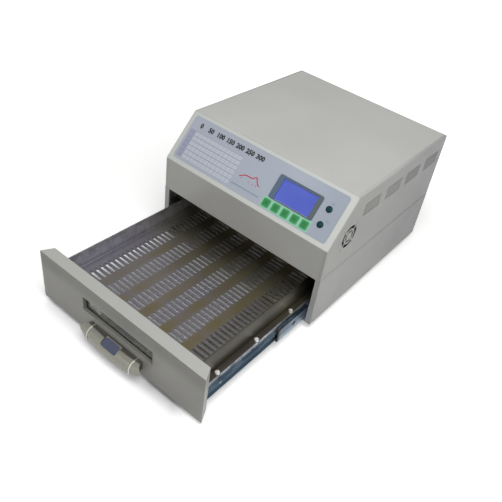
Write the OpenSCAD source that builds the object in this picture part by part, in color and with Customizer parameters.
// Bench-top infrared reflow oven with a drawer on two-stage ball-bearing slides.
// The drawer is modelled standing open. +Z is up, +Y points to the rear, +X to the right.

/* [Cabinet] */
// Width over the lower side walls
cab_w = 370; // [340:1:400]
// Depth from the front face to the back of the rear panel
cab_d = 406; // [396:1:440]
// Height of the top plate above the bench
cab_h = 258.8; // [250:0.2:270]
// Height of the bend between the upright header and the slope
header_z = 181.2; // [176:0.2:186]
// How far back the slope's upper edge stands
slope_run = 70; // [64:1:76]
// Height of the seam between chassis and cover
seam_z = 118; // [116:1:122]
// Height of the feet
foot_h = 14; // [12:0.5:15]
// Thickness of the sheet metal
sheet = 1.2; // [1:0.1:1.3]

/* [Front opening] */
// Width of the opening between the front posts
open_w = 350; // [340:1:354]
// Height of the opening's upper edge
open_top = 115.5; // [112:0.5:117]

/* [Drawer] */
// How far the drawer stands open
drawer_out = 252; // [0:1:350]
// Width of the drawer front
front_w = 368; // [360:1:370]
// Height of the drawer front
front_h = 99.5; // [96:0.5:100]
// Height of its lower edge above the bench
front_z = 9.4; // [8:0.2:11]
// Depth of the drawer front
front_depth = 20.5; // [18:0.5:24]
// How far its sides lean inwards towards the rear
front_taper = 10.5; // [8:0.5:12]

/* [Tray] */
// Width inside the tray walls
tray_w = 302.8; // [290:0.2:303]
// Length of the tray
tray_len = 320; // [300:1:322]
// Height of the tray floor above the bench
tray_z = 63; // [60:0.5:66]
// Height of the tray wall's upper edge above the bench
tray_top = 96; // [90:0.5:97]
// Columns of slots
slot_cols = 6; // [4:1:6]
// Distance between the columns
slot_pitch_x = 48; // [40:0.5:49]
// Distance between slots along a column
slot_pitch_y = 9.85; // [8:0.05:14]
// Length of one slot
slot_len = 29; // [20:1:34]
// Width of one slot
slot_w = 4.4; // [3.6:0.2:6]

/* [Window and handle] */
// Width of the viewing window
win_w = 160; // [140:1:170]
// Height of the viewing window
win_h = 29; // [24:1:30]
// Height of the window's lower edge above the bench
win_z = 50; // [49:0.5:52]
// How deep the glass lies behind the front face
win_recess = 5.5; // [4:0.5:7]
// Length of the handle
handle_w = 147; // [140:1:150]
// How far the handle's middle stands out
handle_reach = 21; // [19:0.5:26]
// How far its ends stand back from its middle
handle_sag = 5; // [3:0.5:7]
// Height of its top above the bench
handle_top = 41; // [38:0.5:42]
// Height of its lower lip above the bench
handle_lip = 19; // [17:0.5:21]

/* [Slides] */
// Length of each slide member
slide_len = 350; // [330:1:352]
// Height of the slide's middle line above the bench
slide_z = 34.5; // [34:0.5:37]
// Diameter of the balls
ball_d = 4; // [3.6:0.1:4]
// Balls in one row of a cage
row_balls = 8; // [6:1:9]

/* [Control panel] */
// Left edge of the printed film
film_x0 = -175; // [-178:1:-170]
// Right edge of the printed film
film_x1 = 172; // [168:1:178]
// Middle of the display across the panel
lcd_x = 85; // [80:1:88]
// Width of the display's frame
lcd_w = 92; // [88:1:94]
// Middle of the five keys across the panel
key_x = 83; // [80:1:86]
// Distance between keys
key_pitch = 20.25; // [19:0.25:20.5]
// Travel of a key
key_travel = 0.5; // [0.3:0.1:0.5]

/* [Heaters and fans] */
// Number of infrared tubes
tube_count = 4; // [2:1:4]
// Diameter of an infrared tube
tube_d = 10; // [8:0.5:10]
// Height of the tubes above the bench
tube_z = 138; // [134:0.5:140]
// Size of the cooling fan in the right side
side_fan = 50; // [40:5:50]
// Size of the exhaust fan in the rear panel
rear_fan = 80; // [70:5:80]
// Blades on each fan
fan_blades = 7; // [5:1:9]

/* [Hidden] */
$fn = 48;

// Derived places
rear_reach = 4;
front_gap = 0.5;
front_y = -front_gap - front_depth;
y_mid = (cab_d + rear_reach - drawer_out + front_y - handle_reach) / 2;
floor_top = foot_h + sheet;
step = 0.8;
cover_x = cab_w / 2 - step;
rear_y = cab_d - sheet;
slope_angle = atan2(cab_h - header_z, slope_run);

// Slide cross-section, measured from the slide's middle line
track_gap = 0.06;
member_t = 1.2;
outer_half = 17.75;
mid_half = 13.4;
inner_half = 9.05;
outer_web_x = 174.2;
outer_lip_x = 164.8;
mid_web_x = 171.8;
inner_web_x = 164;
mid_lip_x = 165.8;
outer_ball_z = (outer_half - member_t + mid_half) / 2;
inner_ball_z = (mid_half - member_t + inner_half) / 2;
outer_ball_x = 168.8;
inner_ball_x = 167.4;
ball_pitch = 9.5;
cage_len = row_balls * ball_pitch + 5;
slide_y = 2;
slide_travel = slide_len / 2;
mid_out = max(0, drawer_out - slide_travel);

// Chamber
rail_top = 100;
hood_x = 158;
hood_y0 = 19;
hood_y1 = 346;
hood_top = 160;
tube_pitch = tray_len / tube_count;
exhaust_x = -70;
exhaust_z = 132;
shelf_z = 180;

// Places on the rear panel
inlet_x = 118;
inlet_z = 66;
switch_x = 62;
switch_z = 66;

// Places on the slope: distances down from its upper edge
film_v0 = 7.5;
film_v1 = 96;
lcd_v0 = 28;
lcd_v1 = 74;
key_v = 84.5;
key_w = 14.5;
key_h = 15;
lamp_x = 148;
lamp_v = [42, 71];
lamp_hole = 8.2;

// Frames of reference
module cab() {
    translate([0, -y_mid, 0]) children();
}

module on_drawer() {
    cab() translate([0, -drawer_out, 0]) children();
}

module on_mid() {
    cab() translate([0, slide_y - mid_out, slide_z]) children();
}

module on_slope() {
    cab() translate([0, slope_run, cab_h]) rotate([slope_angle, 0, 0]) children();
}

module both_sides() {
    children();
    mirror([1, 0, 0]) children();
}

// Extrudes a y-z outline along x
module along_x(x0, x1) {
    translate([x0, 0, 0]) rotate([90, 0, 90]) linear_extrude(x1 - x0) children();
}

// Extrudes an x-z outline along y
module along_y(y0, y1) {
    translate([0, y1, 0]) rotate([90, 0, 0]) linear_extrude(y1 - y0) children();
}

module block(x0, x1, y0, y1, z0, z1) {
    translate([x0, y0, z0]) cube([x1 - x0, y1 - y0, z1 - z0]);
}

module rod_y(d, y0, y1) {
    translate([0, y0, 0]) rotate([-90, 0, 0]) cylinder(h = y1 - y0, d = d);
}

module rod_x(d, x0, x1) {
    translate([x0, 0, 0]) rotate([0, 90, 0]) cylinder(h = x1 - x0, d = d);
}

module rounded_rect(w, h, r) {
    square([w - 2 * r, h], center = true);
    square([w, h - 2 * r], center = true);
    for (sx = [-1, 1], sy = [-1, 1])
        translate([sx * (w / 2 - r), sy * (h / 2 - r)]) circle(r = r);
}

module stadium(l, w) {
    square([l - w, w], center = true);
    for (s = [-1, 1])
        translate([s * (l - w) / 2, 0]) circle(d = w);
}

// Pan-head screw along +Z: the head's underside lies at z = 0
module pan_screw(d, head_d, head_h, len) {
    difference() {
        union() {
            cylinder(h = head_h, d = head_d);
            translate([0, 0, -len]) cylinder(h = len + head_h / 2, d = d);
        }
        for (a = [0, 90])
            rotate(a) translate([-head_d * 0.3, -head_d * 0.07, head_h * 0.45])
                cube([head_d * 0.6, head_d * 0.14, head_h]);
    }
}

// Countersunk screw along +Z: the flat head's face lies at z = 0
module flat_screw(d, head_d, head_h, len) {
    difference() {
        union() {
            translate([0, 0, -head_h]) cylinder(h = head_h, d1 = d, d2 = head_d);
            translate([0, 0, -len]) cylinder(h = len - head_h / 2, d = d);
        }
        for (a = [0, 90])
            rotate(a) translate([-head_d * 0.3, -head_d * 0.07, -head_h * 0.6])
                cube([head_d * 0.6, head_d * 0.14, head_h]);
    }
}

// Places of the screws that hold the cover to the lap strips
cover_screw_y = [24, 146, 268, 390];
cover_screw_z = seam_z + 6;
screw_hole = 4.2;
lap_t = 1.2;
fascia_flange = 14;

// Lower tub: floor, side walls, front posts, rear flange, and the strips that the cover laps over
module chassis_base() {
    wall_x = cab_w / 2 - sheet;
    lap_x = cover_x - sheet;
    post_w = (cab_w - open_w) / 2;
    rear_flange = 12;
    lap_y = fascia_flange + 2;
    color("silver") cab() difference() {
        union() {
            block(-cab_w / 2, cab_w / 2, 0, rear_y, foot_h, floor_top);
            both_sides() {
                block(wall_x, cab_w / 2, 0, rear_y, foot_h, seam_z);
                block(cab_w / 2 - post_w, cab_w / 2, 0, sheet, foot_h, open_top - 0.3);
                block(wall_x - rear_flange, cab_w / 2, rear_y - sheet, rear_y, foot_h, seam_z);
                block(lap_x - lap_t, wall_x, lap_y, rear_y, seam_z - 14, seam_z - 2);
                block(lap_x - lap_t, lap_x, lap_y, rear_y, seam_z - 14, seam_z + 12);
            }
            block(-wall_x, wall_x, rear_y - sheet, rear_y, foot_h, foot_h + rear_flange);
        }
        floor_vents();
        both_sides() {
            for (y = cover_screw_y)
                translate([0, y, cover_screw_z]) rod_x(screw_hole, lap_x - lap_t - 1, lap_x + 1);
            for (y = foot_y)
                translate([foot_x, y, foot_h - 1]) cylinder(h = sheet + 2, d = screw_hole);
        }
        rear_screw_holes(foot_h - 1, seam_z);
    }
}

foot_x = 140;
foot_y = [42, cab_d - 40];

module floor_vents() {
    vent_pitch = 14;
    for (i = [-7:7], y = [120, 280])
        translate([i * vent_pitch, y, foot_h - 1]) linear_extrude(sheet + 2) rotate(90) stadium(60, 5);
}

// Outline of the cabinet's cover and rear panel seen from behind, open downwards
module cover_outline(inset, z0) {
    bend_r = 3;
    half = cover_x - inset;
    top = cab_h - inset;
    r = bend_r - inset;
    translate([-half, z0]) square([2 * half, top - r - z0]);
    translate([-half + r, z0]) square([2 * (half - r), top - z0]);
    for (s = [-1, 1])
        translate([s * (half - r), top - r]) circle(r = r);
}

// Outline of the cabinet seen from the side
module side_outline(z0, y1) {
    polygon([[0, z0], [0, header_z], [slope_run, cab_h], [y1, cab_h], [y1, z0]]);
}

louvre_y = [126, 202.5, 278, 356.5];
louvre_w = 57;
louvre_rows = 5;
louvre_pitch = 5.6;
louvre_h = 2.6;
louvre_z = 218.5;

module louvre_places() {
    for (y = louvre_y, i = [0:louvre_rows - 1])
        translate([0, y, louvre_z + (i - (louvre_rows - 1) / 2) * louvre_pitch]) children();
}

side_fan_y = 66;
side_fan_z = 180;
side_fan_depth = 15;

// Openings punched in front of the fan: two rings cut by four struts
module fan_grille() {
    strut = 2.6;
    difference() {
        circle(d = side_fan - 6);
        circle(d = side_fan * 0.3);
        difference() {
            circle(d = side_fan * 0.62);
            circle(d = side_fan * 0.62 - 2 * strut);
        }
        for (a = [45, 135])
            rotate(a) square([side_fan, strut], center = true);
    }
}

// Removable cover: top plate and upper sides bent from one sheet
module top_cover() {
    fin_t = 0.8;
    fin_w = 5;
    fin_lean = 45;
    color("gainsboro") cab() difference() {
        union() {
            // Pressed louvre fins that slope inwards and down from each slot's upper edge
            both_sides() louvre_places()
                translate([cover_x - sheet - 1.4, 0, louvre_h / 2 - 0.97]) rotate([0, -fin_lean, 0])
                    cube([fin_w, louvre_w - 2 * louvre_h, fin_t], center = true);
            intersection() {
                along_y(0, rear_y) difference() {
                    cover_outline(0, seam_z + 0.3);
                    cover_outline(sheet, seam_z - 2);
                }
                along_x(-cab_w / 2, cab_w / 2) side_outline(seam_z, rear_y);
            }
        }
        both_sides() {
            louvre_places() rotate([90, 0, 90]) translate([0, 0, cover_x - sheet - 0.01])
                linear_extrude(sheet + 1) stadium(louvre_w, louvre_h);
            for (y = cover_screw_y)
                translate([cover_x - sheet - 0.01, y, cover_screw_z]) rotate([0, 90, 0])
                    cylinder(h = sheet + 0.02, d1 = 4.4, d2 = 7.4);
        }
        translate([0, side_fan_y, side_fan_z]) {
            rotate([90, 0, 90]) translate([0, 0, cover_x - 3]) linear_extrude(4) fan_grille();
            for (sy = [-1, 1], sz = [-1, 1])
                translate([0, sy * fan_pitch(side_fan), sz * fan_pitch(side_fan)])
                    rod_x(screw_hole, cover_x - 3, cover_x + 1);
        }
    }
}

// Header and sloped panel, one bent sheet with a tongue under the top plate
module front_fascia() {
    a = slope_angle;
    t = sheet;
    half = cover_x - sheet - 0.1;
    under = cab_h - sheet;
    tongue = 12;
    y_under = slope_run * (under - header_z) / (cab_h - header_z);
    y_inner = slope_run * (under - t - header_z) / (cab_h - header_z) + t / sin(a);
    color("gainsboro") difference() {
        cab() intersection() {
            along_y(-1, cab_d) cover_outline(t + 0.1, open_top - 1);
            along_x(-half, half) polygon([
                [0, open_top], [0, header_z], [y_under, under], [y_under + tongue, under],
                [y_under + tongue, under - t], [y_inner, under - t],
                [t, header_z - t * (1 - sin(a)) / cos(a)], [t, open_top + t],
                [fascia_flange, open_top + t], [fascia_flange, open_top]
            ]);
        }
        on_slope() {
            translate([lcd_x, -(lcd_v0 + lcd_v1) / 2, -t - 1]) linear_extrude(t + 2)
                rounded_rect(lcd_w - 16, 42, 1);
            for (i = [-2:2])
                translate([key_x + i * key_pitch, -key_v, -t - 1]) linear_extrude(t + 2)
                    rounded_rect(key_w + 0.6, key_h + 0.6, 2.8);
            for (v = lamp_v)
                translate([lamp_x, -v, -t - 1]) cylinder(h = t + 2, d = lamp_hole);
        }
    }
}

// Screws along the rear panel's edge: [x, z]
rear_screws = [
    for (s = [-1, 1], z = [40, 100]) [s * (cab_w / 2 - 7), z],
    for (s = [-1, 1]) [s * 90, foot_h + 7]
];

module rear_screw_holes(z0, z1) {
    for (p = rear_screws)
        if (p[1] > z0 && p[1] < z1)
            translate([p[0], 0, p[1]]) rod_y(3.2, rear_y - 2 * sheet, cab_d + 1);
}

module rear_panel() {
    color("gainsboro") cab() along_y(rear_y, cab_d) difference() {
        cover_outline(0, foot_h);
        translate([exhaust_x, exhaust_z]) {
            circle(d = rear_fan - 6);
            for (sx = [-1, 1], sz = [-1, 1])
                translate([sx, sz] * fan_pitch(rear_fan)) circle(d = 4.4);
        }
        translate([inlet_x, inlet_z]) square([28.6, 38.6], center = true);
        translate([switch_x, switch_z]) square([19.6, 27.6], center = true);
        for (p = rear_screws)
            translate(p) circle(d = 3.2);
        for (i = [-6:6])
            translate([i * 22, 216]) rotate(90) stadium(30, 5);
    }
}

module rubber_feet() {
    foot_d = 28;
    color([0.08, 0.08, 0.08]) cab() both_sides() for (y = foot_y)
        translate([foot_x, y, 0]) difference() {
            union() {
                cylinder(h = 3, d1 = foot_d - 3, d2 = foot_d);
                translate([0, 0, 3]) cylinder(h = foot_h - 3, d = foot_d);
            }
            translate([0, 0, -1]) cylinder(h = foot_h + 2, d = screw_hole);
            translate([0, 0, -1]) cylinder(h = 7.4, d = 10);
        }
}

// Every screw of the cabinet: feet, cover, slides, fans and rear panel
module chassis_screws() {
    color([0.75, 0.75, 0.76]) cab() {
        both_sides() {
            for (y = foot_y)
                translate([foot_x, y, 0]) {
                    translate([0, 0, 6.4]) mirror([0, 0, 1]) pan_screw(4, 8, 2.4, foot_h - 2.4);
                    translate([0, 0, floor_top]) cylinder(h = 2.6, d = 7, $fn = 6);
                }
            for (y = cover_screw_y)
                translate([cover_x, y, cover_screw_z]) rotate([0, 90, 0]) flat_screw(4, 7, sheet, 6);
            for (y = slide_screw_y)
                translate([outer_web_x - member_t, slide_y + y, slide_z]) rotate([0, -90, 0])
                    flat_screw(4, 6, member_t, 6);
        }
        translate([0, side_fan_y, side_fan_z]) for (sy = [-1, 1], sz = [-1, 1])
            translate([cover_x, sy * fan_pitch(side_fan), sz * fan_pitch(side_fan)]) rotate([0, 90, 0])
                pan_screw(3.2, 6.4, step, 8);
        for (p = rear_screws)
            translate([p[0], cab_d, p[1]]) rotate([-90, 0, 0]) pan_screw(3, 6, 2, 6);
        for (sx = [-1, 1], sz = [-1, 1])
            translate([exhaust_x, cab_d + 1.6, exhaust_z] + [sx, 0, sz] * fan_pitch(rear_fan))
                rotate([-90, 0, 0]) pan_screw(4, 7, rear_reach - 1.6, 9);
    }
}

// Hat rails that stand the outer slide members off the side walls
module slide_carriers() {
    wall_x = cab_w / 2 - sheet;
    color([0.7, 0.72, 0.72]) cab() both_sides() difference() {
        union() {
            block(outer_web_x, outer_web_x + sheet, slide_y, slide_y + slide_len, floor_top, rail_top);
            block(outer_web_x, wall_x, slide_y, slide_y + slide_len, floor_top, floor_top + sheet);
            block(outer_web_x, wall_x, slide_y, slide_y + slide_len, rail_top - sheet, rail_top);
        }
        for (y = slide_screw_y)
            translate([0, slide_y + y, slide_z]) rod_x(screw_hole, outer_web_x - 1, outer_web_x + 3);
    }
}

slide_screw_y = [24, 150, slide_len - 24];

// Half of a slide member in cross-section: web at x1, lip towards x0, half height h
module channel(x0, x1, web_at_x1, h) {
    web0 = web_at_x1 ? x1 - member_t : x0;
    translate([web0, -h]) square([member_t, 2 * h]);
    for (s = [-1, 1])
        translate([x0, s > 0 ? h - member_t : -h]) square([x1 - x0, member_t]);
}

module ball_tracks(x, z) {
    for (s = [-1, 1])
        translate([x, s * z]) circle(r = ball_d / 2 + track_gap);
}

module slide_outer(side) {
    color([0.62, 0.66, 0.68]) mirror([side < 0 ? 1 : 0, 0, 0]) cab() translate([0, slide_y, slide_z])
        difference() {
            along_y(0, slide_len) difference() {
                union() {
                    channel(outer_lip_x, outer_web_x, true, outer_half);
                    for (s = [-1, 1])
                        translate([outer_lip_x, s * (outer_half - member_t - 0.3) - 0.4]) square([0.9, 0.8]);
                }
                ball_tracks(outer_ball_x, outer_ball_z);
            }
            for (y = slide_screw_y)
                translate([outer_web_x - member_t - 0.01, y, 0]) rotate([0, 90, 0])
                    cylinder(h = member_t + 0.02, d1 = 6.2, d2 = 4.2);
            translate([0, 90, 0]) rod_x(12, outer_web_x - 3, outer_web_x + 1);
            translate([0, 240, 0]) rod_x(12, outer_web_x - 3, outer_web_x + 1);
        }
}

module slide_mid(side) {
    color([0.66, 0.7, 0.74]) mirror([side < 0 ? 1 : 0, 0, 0]) on_mid() difference() {
        along_y(0, slide_len) difference() {
            channel(mid_lip_x, mid_web_x, true, mid_half);
            ball_tracks(outer_ball_x, outer_ball_z);
            ball_tracks(inner_ball_x, inner_ball_z);
        }
        for (y = [40:90:slide_len - 30])
            translate([0, y, 0]) rod_x(9, mid_web_x - 3, mid_web_x + 1);
    }
}

module slide_inner(side) {
    color([0.55, 0.64, 0.68]) mirror([side < 0 ? 1 : 0, 0, 0]) on_drawer() translate([0, slide_y, slide_z])
        difference() {
            along_y(0, slide_len) difference() {
                channel(inner_web_x, 169.2, false, inner_half);
                ball_tracks(inner_ball_x, inner_ball_z);
            }
            for (y = drawer_slide_screw_y)
                translate([inner_web_x - 0.01, y, 0]) rotate([0, 90, 0])
                    cylinder(h = member_t + 0.02, d1 = 4.2, d2 = 6.2);
        }
}

drawer_slide_screw_y = [36, 168, slide_len - 50];

// One cage: a strip bent to a U that carries two rows of balls
module ball_cage(ball_x, ball_z, x1, web_t) {
    strip = 1;
    x0 = ball_x - ball_d / 2 - 0.2;
    for (s = [-1, 1]) {
        translate([x0, 0, s * ball_z - strip / 2]) cube([x1 - x0, cage_len, strip]);
        for (i = [0:row_balls - 1])
            translate([ball_x, (cage_len - (row_balls - 1) * ball_pitch) / 2 + i * ball_pitch, s * ball_z])
                sphere(d = ball_d);
    }
    translate([x1 - web_t, 0, -ball_z - strip / 2]) cube([web_t, cage_len, 2 * ball_z + strip]);
}

module outer_ball_cages() {
    cage_y = slide_travel / 2 + 4 - mid_out / 2;
    color([0.5, 0.52, 0.54]) cab() both_sides() translate([0, slide_y + cage_y, slide_z])
        ball_cage(outer_ball_x, outer_ball_z, mid_web_x + 0.9, 0.6);
}

module inner_ball_cages() {
    cage_y = slide_travel / 2 + 1 - (drawer_out - mid_out) / 2;
    color([0.07, 0.07, 0.07]) on_mid() both_sides() translate([0, cage_y, 0])
        ball_cage(inner_ball_x, inner_ball_z, mid_web_x - member_t - 0.4, 0.6);
}

// Plastic bumpers on the front ends of the middle members
module slide_bumpers() {
    bumper_t = 5;
    color([0.06, 0.06, 0.06]) on_mid() both_sides() difference() {
        block(mid_lip_x, mid_web_x, -bumper_t, -0.05, -mid_half, mid_half);
        block(160, 169.7, -bumper_t - 1, 1, -inner_half - 0.5, inner_half + 0.5);
    }
}

// Rails and cross members that carry the tray
module drawer_frame() {
    rail_z0 = slide_z - inner_half - 1;
    web_x = inner_web_x - sheet;
    ledge_z = tray_z - 10;
    rear = tray_len + 2;
    color([0.62, 0.62, 0.63]) on_drawer() difference() {
        union() {
            both_sides() {
                block(web_x, inner_web_x, -front_gap, rear, rail_z0, ledge_z);
                block(tray_w / 2 + 2, inner_web_x, -front_gap, rear, ledge_z - sheet, ledge_z);
            }
            block(-inner_web_x, inner_web_x, -front_gap, sheet - front_gap, rail_z0, win_z - 2);
            block(-inner_web_x, inner_web_x, -front_gap, 10, rail_z0, rail_z0 + sheet);
            block(-inner_web_x, inner_web_x, rear - sheet, rear, rail_z0, ledge_z);
            block(-inner_web_x, inner_web_x, rear - 12, rear, rail_z0, rail_z0 + sheet);
        }
        both_sides() {
            for (y = tray_screw_y)
                translate([tray_screw_x, y, ledge_z - 3]) cylinder(h = 5, d = screw_hole);
            for (y = drawer_slide_screw_y)
                translate([0, slide_y + y, slide_z]) rod_x(screw_hole, web_x - 1, inner_web_x + 1);
        }
    }
}

tray_screw_x = 160;
tray_screw_y = [34, 126, 218, 310];

// Plan of the drawer front: wide at the face, narrower at the rear edge
module front_plan(inset) {
    lean = front_taper / front_depth;
    side = inset * sqrt(1 + lean * lean);
    y0 = front_y + inset;
    y1 = -front_gap;
    x0 = front_w / 2 - lean * inset - side;
    x1 = front_w / 2 - front_taper - side;
    polygon([[-x0, y0], [x0, y0], [x1, y1], [-x1, y1]]);
}

module window_hole(w, h, y0, y1) {
    translate([0, 0, win_z + win_h / 2]) along_y(y0, y1) rounded_rect(w, h, 1.5);
}

handle_screw_x = 52;

module drawer_front() {
    color([0.6, 0.6, 0.57]) on_drawer() difference() {
        union() {
            difference() {
                translate([0, 0, front_z]) linear_extrude(front_h) front_plan(0);
                translate([0, 0, front_z + sheet]) linear_extrude(front_h - 2 * sheet) difference() {
                    front_plan(sheet);
                    translate([-front_w, -front_gap]) square([2 * front_w, 1]);
                }
                block(-front_w, front_w, -front_gap - 0.001, 1, front_z + sheet, front_z + front_h - sheet);
            }
            window_hole(win_w + 2, win_h + 2, front_y + 0.5, front_y + win_recess);
        }
        window_hole(win_w, win_h, front_y - 1, front_y + win_recess + 1);
        for (s = [-1, 1])
            translate([s * handle_screw_x, 0, handle_screw_z]) rod_y(screw_hole, front_y - 1, front_y + 3);
    }
}

glass_t = 4;
seat_y = front_y + win_recess;

// Back plate of the drawer front with the frame that presses the glass
module drawer_liner() {
    edge = sheet + 0.4;
    liner_w = front_w - 2 * front_taper - 2 * sheet - 1.6;
    color([0.68, 0.68, 0.68]) on_drawer() difference() {
        union() {
            along_y(-front_gap - sheet, -front_gap) translate([-liner_w / 2, front_z + edge])
                square([liner_w, front_h - 2 * edge]);
            window_hole(win_w - 2, win_h - 2, seat_y + glass_t, -front_gap);
        }
        window_hole(win_w - 5, win_h - 5, seat_y, 1);
        // Notches that take the slides' bumpers when the drawer is shut
        both_sides() translate([0, 0, slide_z])
            block(mid_lip_x - 0.6, front_w / 2, -front_gap - 2 * sheet, 1, -mid_half - 0.6, mid_half + 0.6);
    }
}

module window_glass() {
    color([0.6, 0.62, 0.6, 0.5]) on_drawer() window_hole(win_w + 4, win_h + 4, seat_y, seat_y + glass_t);
}

// Seal behind the glass and the glazing bead in front of it
module window_gasket() {
    color([0.1, 0.1, 0.1]) on_drawer() {
        difference() {
            window_hole(win_w + 10, win_h + 10, seat_y, seat_y + glass_t + 1.2);
            window_hole(win_w + 4, win_h + 4, seat_y - 1, seat_y + glass_t);
            window_hole(win_w - 1.6, win_h - 1.6, seat_y + glass_t - 1, seat_y + glass_t + 3);
        }
        difference() {
            window_hole(win_w - 0.2, win_h - 0.2, front_y + 0.8, seat_y);
            window_hole(win_w - 3, win_h - 3, front_y, seat_y + 1);
        }
    }
}

// Slotted stainless tray with a ledge that rests on the rails
module tray_pan() {
    wall = 1.3;
    half = tray_w / 2;
    y0 = 0.8;
    y1 = y0 + tray_len;
    ledge_z = tray_z - 10;
    margin = 14.2;
    rows = floor((tray_len - 2 * margin) / slot_pitch_y) + 1;
    color([0.68, 0.66, 0.62]) on_drawer() difference() {
        union() {
            translate([0, 0, tray_z - 1]) linear_extrude(1) difference() {
                translate([-half - 0.5, y0]) square([tray_w + 1, tray_len]);
                for (c = [0:slot_cols - 1], r = [0:rows - 1])
                    translate([(c - (slot_cols - 1) / 2) * slot_pitch_x, y0 + margin + r * slot_pitch_y])
                        stadium(slot_len, slot_w);
            }
            both_sides() {
                block(half, half + wall, y0, y1, ledge_z, tray_top);
                block(half, tray_screw_x + 3.4, y0, y1, ledge_z, ledge_z + 1);
            }
            block(-half - wall, half + wall, y0, y0 + 1, tray_z - 4, tray_top);
            block(-half - wall, half + wall, y1 - 1, y1, tray_z - 4, tray_top);
        }
        block(-win_w / 2 + 3, win_w / 2 - 3, y0 - 1, y0 + 2, tray_z + 1, win_z + win_h + 1);
        both_sides() for (y = tray_screw_y)
            translate([tray_screw_x, y, ledge_z - 1]) cylinder(h = 4, d = screw_hole);
    }
}

// Screws that ride with the drawer: tray, slides and handle
module drawer_screws() {
    color([0.85, 0.85, 0.86]) on_drawer() {
        both_sides() {
            for (y = tray_screw_y)
                translate([tray_screw_x, y, tray_z - 9]) pan_screw(4, 7.6, 2.6, 6);
            for (y = drawer_slide_screw_y)
                translate([inner_web_x + member_t, slide_y + y, slide_z]) rotate([0, 90, 0])
                    flat_screw(4, 6, member_t, 5);
            translate([handle_screw_x, front_y + sheet, handle_screw_z]) rotate([-90, 0, 0])
                pan_screw(4, 8, 2.4, 7);
        }
    }
}

// Cup handle: a rounded lip swept along a shallow arc, open below. Its lower edge rises
// towards the ends, which are scooped where they meet the drawer front.
handle_wall = 3;
handle_r = 14;
handle_scoop = 15;
handle_end = 33;
handle_end_r = 40;
handle_screw_z = 27;
rib_x = 49;
bow_r = (pow(handle_w / 2, 2) + pow(handle_sag, 2)) / (2 * handle_sag);
badge_w = 34;
badge_h = 16;
badge_tilt = 64;
badge_n = sqrt(pow(handle_r, 2) - pow(badge_h / 2 + 0.4, 2));

// The lip as a solid up to y1: grown for the ribs, or shrunk by a wall for the hollow
module cup(grow, y1) {
    sweep = asin(handle_w / 2 / bow_r) + 3;
    intersection() {
        translate([0, front_y - handle_reach + bow_r, 0]) rotate(-90 - sweep)
            rotate_extrude(angle = 2 * sweep, $fn = 720)
                translate([bow_r - handle_r, handle_top - handle_r]) {
                    circle(r = handle_r + grow, $fn = 96);
                    translate([-3 * handle_r, -handle_top])
                        square([3 * handle_r, handle_top + handle_r + grow]);
                    translate([0, -handle_top]) square([handle_r + grow, handle_top]);
                }
        linear_extrude(2 * handle_top) cup_plan(-grow, y1);
        along_y(front_y - handle_reach - 2, y1 + 1) cup_face(-grow);
    }
}

// How far the ends stand in: the hollow stops short of the scoops
function cup_end(inset) = inset > 0 ? handle_scoop : inset;

// Plan of the cup with its scooped ends
module cup_plan(inset, y1) {
    half = handle_w / 2 - cup_end(inset);
    y0 = front_y - handle_reach - 2;
    difference() {
        translate([-half, y0]) square([2 * half, y1 - y0]);
        for (s = [-1, 1])
            translate([s * handle_w / 2, front_y]) circle(r = handle_scoop + inset, $fn = 96);
    }
}

// Front view of the cup; the hollow's view, which is inset, opens downwards
module cup_face(inset) {
    half = handle_w / 2 - cup_end(inset);
    mid = handle_w / 2 - handle_end;
    z0 = inset > 0 ? 0 : handle_lip + inset;
    intersection() {
        translate([-half, 0]) square([2 * half, 2 * handle_top]);
        union() {
            for (s = [-1, 1])
                translate([s * mid, handle_lip + handle_end_r])
                    circle(r = handle_end_r - inset, $fn = 192);
            translate([-mid, z0]) square([2 * mid, 2 * handle_top]);
        }
    }
}

// Frame of the badge's seat, +Z out of the handle
module on_badge(n) {
    translate([0, front_y - handle_reach + handle_r, handle_top - handle_r]) rotate([90 - badge_tilt, 0, 0])
        translate([0, 0, n]) children();
}

module handle() {
    color([0.6, 0.6, 0.56]) on_drawer() difference() {
        union() {
            difference() {
                union() {
                    cup(0, front_y);
                    intersection() {
                        cup(0.8, front_y);
                        both_sides() along_x(rib_x - 0.8, rib_x + 0.8)
                            translate([front_y - handle_reach + 1, 0]) square([handle_reach, 2 * handle_top]);
                    }
                }
                cup(-handle_wall, front_y + 1);
            }
            // Bosses for the screws, and the block behind the badge
            intersection() {
                cup(0, front_y);
                union() {
                    both_sides() translate([handle_screw_x, 0, handle_screw_z])
                        rod_y(9, front_y - handle_reach, front_y);
                    on_badge(badge_n - 4) linear_extrude(8) rounded_rect(badge_w + 4, badge_h + 4, 7);
                }
            }
        }
        on_badge(badge_n) linear_extrude(6) square([badge_w + 0.6, badge_h + 6], center = true);
        both_sides() translate([handle_screw_x, 0, handle_screw_z]) rod_y(4.1, front_y - 8, front_y + 1);
    }
}

module handle_badge() {
    color([0.1, 0.14, 0.28]) on_drawer() on_badge(badge_n)
        linear_extrude(1.4) rounded_rect(badge_w, badge_h, 6);
}

// Printed film with cut-outs for display, keys and lamps
module control_overlay() {
    film_w = film_x1 - film_x0;
    film_h = film_v1 - film_v0;
    color([0.69, 0.71, 0.79]) on_slope() linear_extrude(0.5) difference() {
        translate([(film_x0 + film_x1) / 2, -(film_v0 + film_v1) / 2]) rounded_rect(film_w, film_h, 6);
        translate([lcd_x, -(lcd_v0 + lcd_v1) / 2]) rounded_rect(lcd_w + 0.4, lcd_v1 - lcd_v0 + 0.4, 4.2);
        for (i = [-2:2])
            translate([key_x + i * key_pitch, -key_v]) rounded_rect(key_w + 0.6, key_h + 0.6, 2.8);
        for (v = lamp_v)
            translate([lamp_x, -v]) circle(d = lamp_hole);
    }
}

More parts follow.
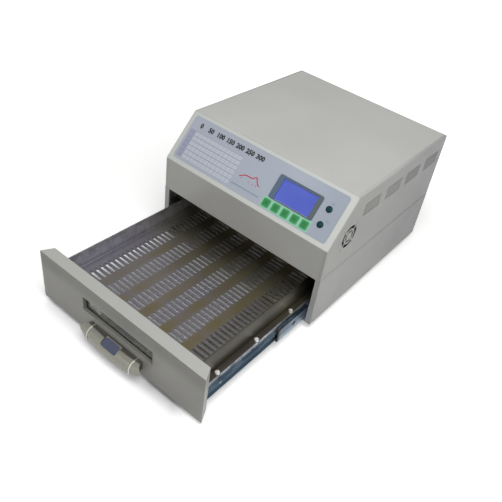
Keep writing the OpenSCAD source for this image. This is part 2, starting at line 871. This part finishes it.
module lcd_bezel() {
    color([0.5, 0.52, 0.56]) on_slope() translate([lcd_x, -(lcd_v0 + lcd_v1) / 2, 0]) linear_extrude(1.3)
        difference() {
            rounded_rect(lcd_w, lcd_v1 - lcd_v0, 4);
            translate([1, -1]) rounded_rect(lcd_w - 20, lcd_v1 - lcd_v0 - 6, 1);
        }
}

// Display with its metal frame and board, the screen standing up into the panel's opening
module lcd_module() {
    mid_v = (lcd_v0 + lcd_v1) / 2;
    color([0.3, 0.36, 0.8]) on_slope() translate([lcd_x, -mid_v, 0]) {
        translate([0, 0, -sheet - 0.1]) linear_extrude(sheet - 0.1) rounded_rect(lcd_w - 17, 41, 0.6);
        translate([0, 0, -7.4]) linear_extrude(7.4 - sheet) rounded_rect(lcd_w - 10, 44, 1);
        translate([0, 0, -9]) linear_extrude(1.6) rounded_rect(lcd_w - 4, 45, 1);
    }
}

// Key cap with a flange behind the panel
module key(i) {
    rise = 1.4;
    flange_top = -sheet - 0.3;
    color([0.12, 0.6, 0.28]) on_slope() translate([key_x + i * key_pitch, -key_v, 0]) {
        difference() {
            translate([0, 0, flange_top - 0.2]) linear_extrude(rise - flange_top + 0.2)
                rounded_rect(key_w, key_h, 2.5);
            translate([0, 0, rise - 0.3]) linear_extrude(1) rounded_rect(key_w - 3, key_h - 3, 1.6);
        }
        translate([0, 0, flange_top - 0.9]) linear_extrude(0.9) rounded_rect(key_w + 2.6, key_h + 2.6, 2);
    }
}

// Board with one tact switch behind each key
module key_board() {
    key_bottom = -sheet - 0.3 - 0.9;
    switch_top = key_bottom - key_travel - 0.1;
    board_top = switch_top - 2;
    color([0.1, 0.35, 0.18]) on_slope() translate([key_x, -key_v, 0]) {
        translate([0, 0, board_top - 1.6]) linear_extrude(1.6) rounded_rect(5 * key_pitch + 6, 18, 1);
        for (i = [-2:2])
            translate([i * key_pitch, 0, board_top]) {
                translate([-3, -3, -0.1]) cube([6, 6, 1.3]);
                cylinder(h = 2, d = 3.4);
            }
        for (s = [-1, 1])
            translate([s * (2.5 * key_pitch + 1.2), 0, board_top - 0.1])
                cylinder(h = -sheet - board_top + 0.1, d = 2);
    }
}

module pilot_lamps() {
    color([0.05, 0.4, 0.4]) on_slope() for (v = lamp_v)
        translate([lamp_x, -v, 0]) {
            translate([0, 0, 0.5]) cylinder(h = 1.2, d = 11.5);
            translate([0, 0, 1.7]) intersection() {
                translate([0, 0, -9]) sphere(r = 10.2);
                cylinder(h = 3, d = 9.6);
            }
            translate([0, 0, -16]) cylinder(h = 16.5, d = 8);
            translate([0, 0, -sheet - 3]) cylinder(h = 3, d = 12, $fn = 6);
        }
}

module control_board() {
    board_n = -24;
    post_n = -sheet;
    x0 = -62;
    x1 = 138;
    v0 = 20;
    v1 = 99;
    color([0.08, 0.3, 0.16]) on_slope() {
        block(x0, x1, -v1, -v0, board_n, board_n + 1.6);
        for (x = [x0 + 4, x1 - 4], v = [v0 + 3, v1 - 3])
            translate([x, -v, board_n + 1.5]) cylinder(h = post_n - board_n - 1.5, d = 5);
        for (p = [[-40, 45, 14, 14, 2], [-10, 45, 10, 18, 3], [-40, 75, 22, 10, 8], [60, 50, 20, 20, 2.4]])
            translate([p[0], -p[1], board_n + 1.5]) cube([p[2], p[3], p[4] + 0.1]);
        for (x = [0, 14, 28])
            translate([x, -88, board_n + 1.5]) cylinder(h = 11, d = 8);
    }
}

// Box over the tray, open below, with flanges that rest on the slide rails
module chamber_hood() {
    t = 1;
    color([0.72, 0.72, 0.7]) cab() difference() {
        union() {
            block(-hood_x, hood_x, hood_y0, hood_y1, hood_top - t, hood_top);
            both_sides() {
                block(hood_x - t, hood_x, hood_y0, hood_y1, rail_top, hood_top);
                block(hood_x - t, cab_w / 2 - 4, hood_y0, hood_y1, rail_top, rail_top + t);
            }
            block(-hood_x, hood_x, hood_y0, hood_y0 + t, open_top - 3.5, hood_top);
            block(-hood_x, hood_x, hood_y1 - t, hood_y1, rail_top, hood_top);
        }
        translate([exhaust_x, 0, exhaust_z]) rod_y(44, hood_y1 - 3, hood_y1 + 2);
    }
}

module insulation() {
    color([0.92, 0.9, 0.84]) cab() block(-hood_x + 1, hood_x - 1, 46, hood_y1 - 2, hood_top, hood_top + 18);
}

probe_x = 60;
probe_d = 3;
probe_y = tube_y(floor((tube_count - 1) / 2)) + tube_pitch / 2;

function tube_y(i) = tray_len / 2 + (i - (tube_count - 1) / 2) * tube_pitch;

reflector_t = 0.8;
reflector_z = tube_z + 4;

// One polished sheet folded into a three-sided trough over each tube
module reflector() {
    rise = 11;
    foot = 14.5;
    roof = 7;
    half = 138;
    side = reflector_t * sqrt(pow(foot - roof, 2) + rise * rise) / rise;
    color([0.85, 0.86, 0.88]) cab() difference() {
        union() {
            for (i = [0:tube_count - 1])
                along_x(-half, half) translate([tube_y(i), reflector_z])
                    trough(foot + side, roof + side, rise + reflector_t);
            for (i = [0:tube_count - 2])
                translate([-half, tube_y(i) + foot, reflector_z])
                    cube([2 * half, tube_pitch - 2 * foot, reflector_t]);
        }
        for (i = [0:tube_count - 1])
            along_x(-half - 1, half + 1) translate([tube_y(i), reflector_z - 0.01])
                trough(foot, roof, rise + 0.01);
        for (s = [-1, 1])
            translate([s * probe_x, probe_y, reflector_z - 1])
                cylinder(h = reflector_t + 2, d = probe_d + 1);
    }
}

module trough(foot, roof, rise) {
    polygon([[-foot, 0], [-roof, rise], [roof, rise], [foot, 0]]);
}

// Straps that hang the reflector from the hood's roof
module reflector_straps() {
    z0 = reflector_z + reflector_t;
    color([0.72, 0.72, 0.7]) cab() for (i = [0:tube_count - 2], x = [-110, 110])
        translate([x, tube_y(i) + tube_pitch / 2 - 5, z0]) cube([1, 10, hood_top - 1 - z0]);
}

module quartz_tubes() {
    color([0.95, 0.95, 0.95, 0.5]) cab() for (i = [0:tube_count - 1])
        translate([0, tube_y(i), tube_z]) difference() {
            rod_x(tube_d, -146, 146);
            rod_x(tube_d - 2, -147, 147);
        }
}

module heater_filaments() {
    color([0.35, 0.3, 0.28]) cab() for (i = [0:tube_count - 1])
        translate([0, tube_y(i), tube_z]) {
            rod_x(3, -140, 140);
            for (x = [-139, -70, -0.5, 69, 138])
                rod_x(tube_d - 2.1, x, x + 1);
        }
}

module ceramic_caps() {
    color([0.95, 0.94, 0.9]) cab() both_sides() for (i = [0:tube_count - 1])
        translate([0, tube_y(i), tube_z]) difference() {
            union() {
                rod_x(16, 141, 149);
                rod_x(12.8, 148, 156);
            }
            rod_x(tube_d + 0.06, 140, 146.1);
        }
}

module heater_rails() {
    color([0.7, 0.7, 0.7]) cab() both_sides() difference() {
        union() {
            block(149, 150.2, hood_y0 + 2, tube_y(tube_count - 1) + 20, tube_z - 12, hood_top - 1);
            block(149, 156, hood_y0 + 2, tube_y(tube_count - 1) + 20, hood_top - 2.2, hood_top - 1);
        }
        for (i = [0:tube_count - 1])
            translate([0, tube_y(i), tube_z]) rod_x(12.86, 148, 152);
    }
}

module thermocouples() {
    color([0.75, 0.72, 0.66]) cab() for (s = [-1, 1])
        translate([s * probe_x, probe_y, 0]) {
            translate([0, 0, rail_top + 3]) cylinder(h = hood_top - rail_top - 5, d = probe_d);
            translate([0, 0, hood_top - 4]) cylinder(h = 3, d = 10);
        }
}

board_lift = 8;
board_posts = [for (x = [-144, 44], y = [126, 324]) [x, y]];

// Shelf over the hood that carries the power electronics, with stand-offs for the board
module electronics_shelf() {
    half = cover_x - sheet - lap_t - 0.1;
    y0 = 96;
    y1 = 366;
    color([0.7, 0.71, 0.7]) cab() difference() {
        union() {
            block(-half, half, y0, y1, shelf_z, shelf_z + sheet);
            both_sides() block(half - sheet, half, y0, y1, seam_z - 12, shelf_z + sheet);
            for (p = board_posts)
                translate([p[0], p[1], shelf_z]) cylinder(h = sheet + board_lift, d = 6);
        }
        both_sides() for (y = cover_screw_y)
            translate([0, y, cover_screw_z]) rod_x(screw_hole, half - sheet - 1, half + 1);
    }
}

module power_board() {
    board_z = shelf_z + sheet + board_lift;
    part_z = board_z + 1.5;
    fins = 6;
    fin_t = 2;
    sink_x = -120;
    sink_w = 60;
    fin_pitch = (sink_w - fin_t) / (fins - 1);
    color([0.1, 0.32, 0.15]) cab() {
        block(-150, 50, 120, 330, board_z, board_z + 1.6);
        // Heat sink
        block(sink_x, sink_x + sink_w, 150, 290, part_z, part_z + 3.5);
        for (i = [0:fins - 1])
            translate([sink_x + i * fin_pitch, 150, part_z + 3]) cube([fin_t, 140, 24]);
        // Relays, capacitors and the terminal block
        for (y = [150, 190])
            block(-30, -10, y, y + 28, part_z, part_z + 16.5);
        for (y = [160, 186, 212])
            translate([18, y, part_z]) cylinder(h = 25, d = 18);
        block(-40, 40, 308, 324, part_z, part_z + 12.5);
    }
}

module transformer() {
    z0 = shelf_z + sheet;
    color([0.3, 0.3, 0.32]) cab() translate([112, 190, z0]) {
        translate([-28, -24, 2]) cube([56, 48, 46]);
        translate([-22, -33, 8]) cube([44, 66, 34]);
        translate([-36, -14, 0]) cube([72, 28, 2.1]);
    }
}

// Flared duct from the hood to the exhaust fan
module exhaust_duct() {
    y0 = hood_y1;
    y1 = rear_y - 25;
    t = 1;
    neck = 22;
    mouth = rear_fan / 2 - 2;
    color([0.72, 0.72, 0.7]) cab() translate([exhaust_x, y0, exhaust_z]) rotate([-90, 0, 0]) {
        rotate_extrude() polygon([
            [neck, 0], [27.5, 0], [27.5, t], [neck + t, t], [neck + t, 10],
            [mouth, y1 - y0], [mouth - t, y1 - y0], [neck, 10.4]
        ]);
    }
}

// Fan frame along +Z: open at z = 0, struts at z = depth
module fan_frame(size, depth) {
    bore = size - 5;
    hub = size * 0.42;
    strut = 2.4;
    flange = 3;
    difference() {
        union() {
            difference() {
                union() {
                    for (z = [0, depth - flange])
                        translate([0, 0, z]) linear_extrude(flange) rounded_rect(size, size, 3);
                    cylinder(h = depth, d = size - 0.6);
                }
                translate([0, 0, -1]) cylinder(h = depth + 2, d = bore);
            }
            translate([0, 0, depth - strut]) cylinder(h = strut, d = hub);
            for (a = [45:90:315])
                rotate(a) translate([hub / 2 - 1, -strut / 2, depth - strut])
                    cube([(bore - hub) / 2 + 2, strut, strut]);
        }
        translate([0, 0, depth - strut - 1]) cylinder(h = strut, d = 3.1);
        for (sx = [-1, 1], sy = [-1, 1])
            translate([sx * fan_pitch(size), sy * fan_pitch(size), -1])
                cylinder(h = depth + 2, d = screw_hole);
    }
}

function fan_pitch(size) = size < 60 ? size * 0.4 : size * 0.447;

module fan_rotor(size, depth) {
    hub = size * 0.42;
    tip = size / 2 - 3.5;
    top = depth - 3.4;
    translate([0, 0, 1]) cylinder(h = top - 1, d = hub);
    translate([0, 0, top - 1]) cylinder(h = 3, d = 3);
    intersection() {
        for (i = [0:fan_blades - 1])
            rotate(i * 360 / fan_blades) translate([hub / 2 - 1, 0, (top + 1) / 2]) rotate([38, 0, 0])
                translate([0, -depth * 0.55, -0.6]) cube([size / 2, depth * 1.1, 1.2]);
        translate([0, 0, 1]) cylinder(h = top - 1, r = tip);
    }
}

module at_exhaust_fan() {
    cab() translate([exhaust_x, rear_y - 25, exhaust_z]) rotate([-90, 0, 0]) children();
}

module exhaust_fan_frame() {
    color([0.09, 0.09, 0.09]) at_exhaust_fan() fan_frame(rear_fan, 25);
}

module exhaust_fan_rotor() {
    color([0.12, 0.12, 0.12]) at_exhaust_fan() fan_rotor(rear_fan, 25);
}

// Wire guard on the outside of the rear panel
module exhaust_guard() {
    wire = 1.6;
    lug = fan_pitch(rear_fan);
    color([0.8, 0.8, 0.82]) cab() translate([exhaust_x, cab_d, exhaust_z]) rotate([-90, 0, 0]) {
        for (r = [9, 17, 25, 33])
            translate([0, 0, wire * 1.2]) rotate_extrude() translate([r, 0]) circle(d = wire, $fn = 24);
        for (a = [45:90:315])
            rotate(a) translate([8, 0, wire / 2]) rotate([0, 90, 0])
                cylinder(h = lug * sqrt(2) - 11.6, d = wire);
        for (sx = [-1, 1], sy = [-1, 1])
            translate([sx * lug, sy * lug, 0]) difference() {
                cylinder(h = wire, d = 8.4);
                translate([0, 0, -1]) cylinder(h = 4, d = 4.4);
            }
    }
}

module at_side_fan() {
    cab() translate([cover_x - sheet - side_fan_depth, side_fan_y, side_fan_z]) rotate([0, 90, 0])
        children();
}

module side_fan_frame() {
    color([0.07, 0.07, 0.07]) at_side_fan() fan_frame(side_fan, side_fan_depth);
}

module side_fan_rotor() {
    color([0.1, 0.1, 0.1]) at_side_fan() fan_rotor(side_fan, side_fan_depth);
}

fuse_z = -13.2;
fuse_w = 20;
fuse_h = 7;

// Appliance inlet with a pocket for the fuse drawer under the socket
module power_inlet() {
    color([0.05, 0.05, 0.05]) cab() translate([inlet_x, cab_d, inlet_z]) difference() {
        union() {
            along_y(0, 3) rounded_rect(50, 42, 4);
            along_y(-26, 0.5) square([28, 38], center = true);
        }
        // Socket with two cut corners
        along_y(-13, 4) difference() {
            translate([0, 5.4]) square([24, 16.4], center = true);
            for (s = [-1, 1])
                translate([s * 12, 13.6]) rotate(45) square(7, center = true);
        }
        translate([0, 0, fuse_z]) along_y(-19, 4) square([fuse_w + 0.6, fuse_h + 0.6], center = true);
        for (s = [-1, 1])
            translate([s * 20, 0, 0]) rod_y(3.4, -1, 4);
        for (p = pin_places)
            translate([p[0], 0, p[1]]) along_y(-27, 0) square([4.06, 2.06], center = true);
    }
}

pin_places = [[-7, 3], [7, 3], [0, 9]];

module inlet_pins() {
    color([0.8, 0.72, 0.45]) cab() translate([inlet_x, cab_d, inlet_z]) for (p = pin_places)
        translate([p[0], 0, p[1]]) along_y(-28.5, -1.5) square([4, 2], center = true);
}

module fuse_drawer() {
    color([0.08, 0.08, 0.08]) cab() translate([inlet_x, cab_d, inlet_z + fuse_z]) difference() {
        union() {
            along_y(-18, 2.4) square([fuse_w, fuse_h], center = true);
            along_y(1.6, 2.8) square([fuse_w - 6, fuse_h - 2], center = true);
        }
        // Trough for the fuse, open upwards
        block(-7, 7, -15, -3, -2.2, 4);
    }
}

rocker_w = 13;
rocker_l = 20.4;
rocker_tilt = 9;
rocker_pin_y = -5;

module switch_frame() {
    color([0.05, 0.05, 0.05]) cab() translate([switch_x, cab_d, switch_z]) difference() {
        union() {
            along_y(0, 2) rounded_rect(22.4, 30.4, 2);
            along_y(-17, 0.5) square([19, 27], center = true);
        }
        along_y(-12, 3) square([rocker_w + 0.8, rocker_l + 1.6], center = true);
        translate([0, rocker_pin_y, 0]) rod_x(3.1, -rocker_w / 2 - 2.2, rocker_w / 2 + 2.2);
    }
}

// Rocker with its pins, resting at off
module switch_rocker() {
    face = 7.4;
    color([0.09, 0.09, 0.09]) cab() translate([switch_x, cab_d + rocker_pin_y, switch_z])
        rotate([rocker_tilt, 0, 0]) {
            along_x(-rocker_w / 2, rocker_w / 2) polygon([
                [-3.4, -4], [3, -rocker_l / 2 + 0.6], [face, -rocker_l / 2 + 0.9], [face - 1.4, 0],
                [face, rocker_l / 2 - 0.9], [3, rocker_l / 2 - 0.6], [-3.4, 4]
            ]);
            rod_x(3, -rocker_w / 2 - 2, rocker_w / 2 + 2);
        }
}

// One straight run of cable between two points
module run(a, b, d) {
    v = b - a;
    len = norm(v);
    translate(a) rotate([0, acos(v[2] / len), atan2(v[1], v[0])]) cylinder(h = len, d = d);
}

module wiring() {
    d = 5;
    y = rear_y - 31;
    board_top = shelf_z + sheet + 16;
    up = [inlet_x, y, board_top];
    color([0.15, 0.15, 0.16]) cab() {
        run([inlet_x, cab_d - 26, inlet_z - 8], [inlet_x, y, inlet_z - 8], d);
        run([inlet_x, y, inlet_z - 8], up, d);
        run([switch_x, cab_d - 17, switch_z - 8], [switch_x, y, inlet_z - 8], d);
        run([switch_x, y, inlet_z - 8], [inlet_x, y, inlet_z - 8], d);
        run(up, [34, y, board_top], d);
        run([34, y, board_top], [34, 324, board_top], d);
        for (p = [[inlet_x, y, inlet_z - 8], [switch_x, y, inlet_z - 8], up, [34, y, board_top]])
            translate(p) sphere(d = d + 1.2);
    }
}

chassis_base();
top_cover();
front_fascia();
rear_panel();
rubber_feet();
chassis_screws();
slide_carriers();
slide_outer(1);  // slide_outer_right
slide_outer(-1);  // slide_outer_left
slide_mid(1);  // slide_mid_right
slide_mid(-1);  // slide_mid_left
slide_inner(1);  // slide_inner_right
slide_inner(-1);  // slide_inner_left
outer_ball_cages();
inner_ball_cages();
slide_bumpers();
drawer_frame();
drawer_front();
drawer_liner();
tray_pan();
drawer_screws();
window_glass();
window_gasket();
handle();
handle_badge();
control_overlay();
lcd_bezel();
lcd_module();
key(-2);  // key_1
key(-1);  // key_2
key(0);  // key_3
key(1);  // key_4
key(2);  // key_5
key_board();
pilot_lamps();
control_board();
chamber_hood();
insulation();
reflector();
reflector_straps();
quartz_tubes();
heater_filaments();
ceramic_caps();
heater_rails();
thermocouples();
electronics_shelf();
power_board();
transformer();
exhaust_duct();
exhaust_fan_frame();
exhaust_fan_rotor();
exhaust_guard();
side_fan_frame();
side_fan_rotor();
power_inlet();
inlet_pins();
fuse_drawer();
switch_frame();
switch_rocker();
wiring();
